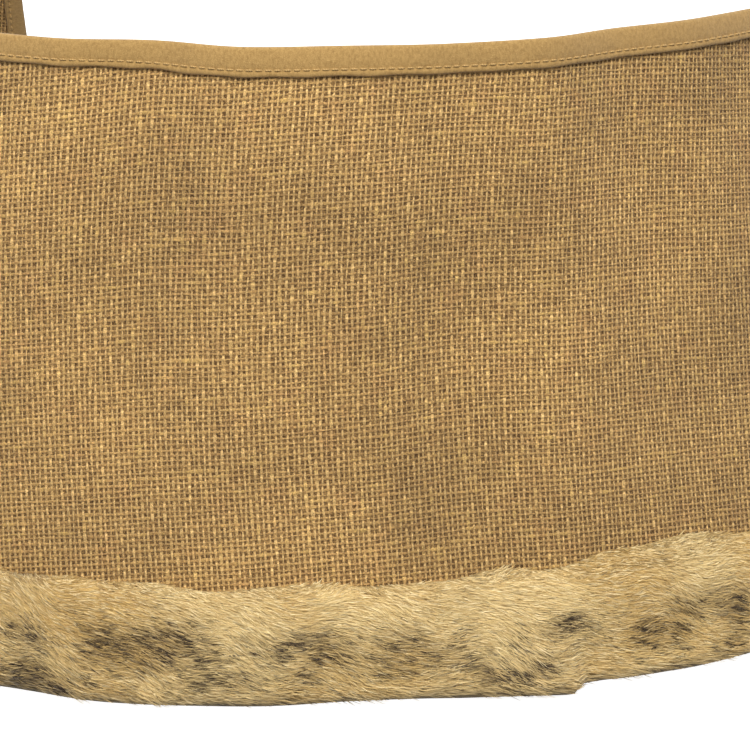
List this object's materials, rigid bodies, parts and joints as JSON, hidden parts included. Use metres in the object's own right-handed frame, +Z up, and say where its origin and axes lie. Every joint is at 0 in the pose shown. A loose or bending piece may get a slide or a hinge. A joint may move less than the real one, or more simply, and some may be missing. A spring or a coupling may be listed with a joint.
{
  "type": "tree skirt",
  "caption": "Standing cone-shaped tree skirt of burlap with a felt-bound top edge, a faux fur hem and two side wings that lap and close at the back.",
  "frame": {"origin": "on the floor, at the middle of the outline seen from above", "axes": "+Z up, -Y is the front of the skirt, +X is to the right as seen from the front; the opening is at the back, towards +Y"},
  "size_m": [0.7754, 0.7286, 0.265],
  "materials": {
    "burlap": "coarse plain-weave jute, matt, slubby",
    "felt": "smooth pressed felt, matt",
    "thread": "twisted polyester sewing thread, slight sheen",
    "fur": "short mottled cream and brown pile, soft sheen",
    "tape": "herringbone cotton tape, matt",
    "fastener": "tan hook and loop tape, matt"
  },
  "bodies": {
    "front": {"front_burlap_panel": "burlap", "front_top_binding": "felt", "front_binding_stitches": "thread", "front_fur_trim": "fur", "front_hem_facing": "tape"},
    "left_wing": {"left_burlap_panel": "burlap", "left_top_binding": "felt", "left_binding_stitches": "thread", "left_fur_trim": "fur", "left_hem_facing": "tape", "left_seam_tape": "tape", "left_end_binding": "felt", "left_end_stitches": "thread", "left_loop_strip_upper": "fastener", "left_loop_strip_lower": "fastener"},
    "right_wing": {"right_burlap_panel": "burlap", "right_top_binding": "felt", "right_binding_stitches": "thread", "right_fur_trim": "fur", "right_hem_facing": "tape", "right_seam_tape": "tape", "right_end_binding": "felt", "right_end_stitches": "thread", "right_hook_strip_upper": "fastener", "right_hook_strip_lower": "fastener"}
  },
  "joints": [
    {"name": "left_wing_swing", "type": "hinge", "parent": "front", "child": "left_wing", "pos_m": [-0.2714, -0.10053, 0], "axis": [0, 0, -1], "range_deg": [0, 48]},
    {"name": "right_wing_swing", "type": "hinge", "parent": "front", "child": "right_wing", "pos_m": [0.27223, -0.10053, 0], "axis": [0, 0, 1], "range_deg": [0, 51]}
  ]
}
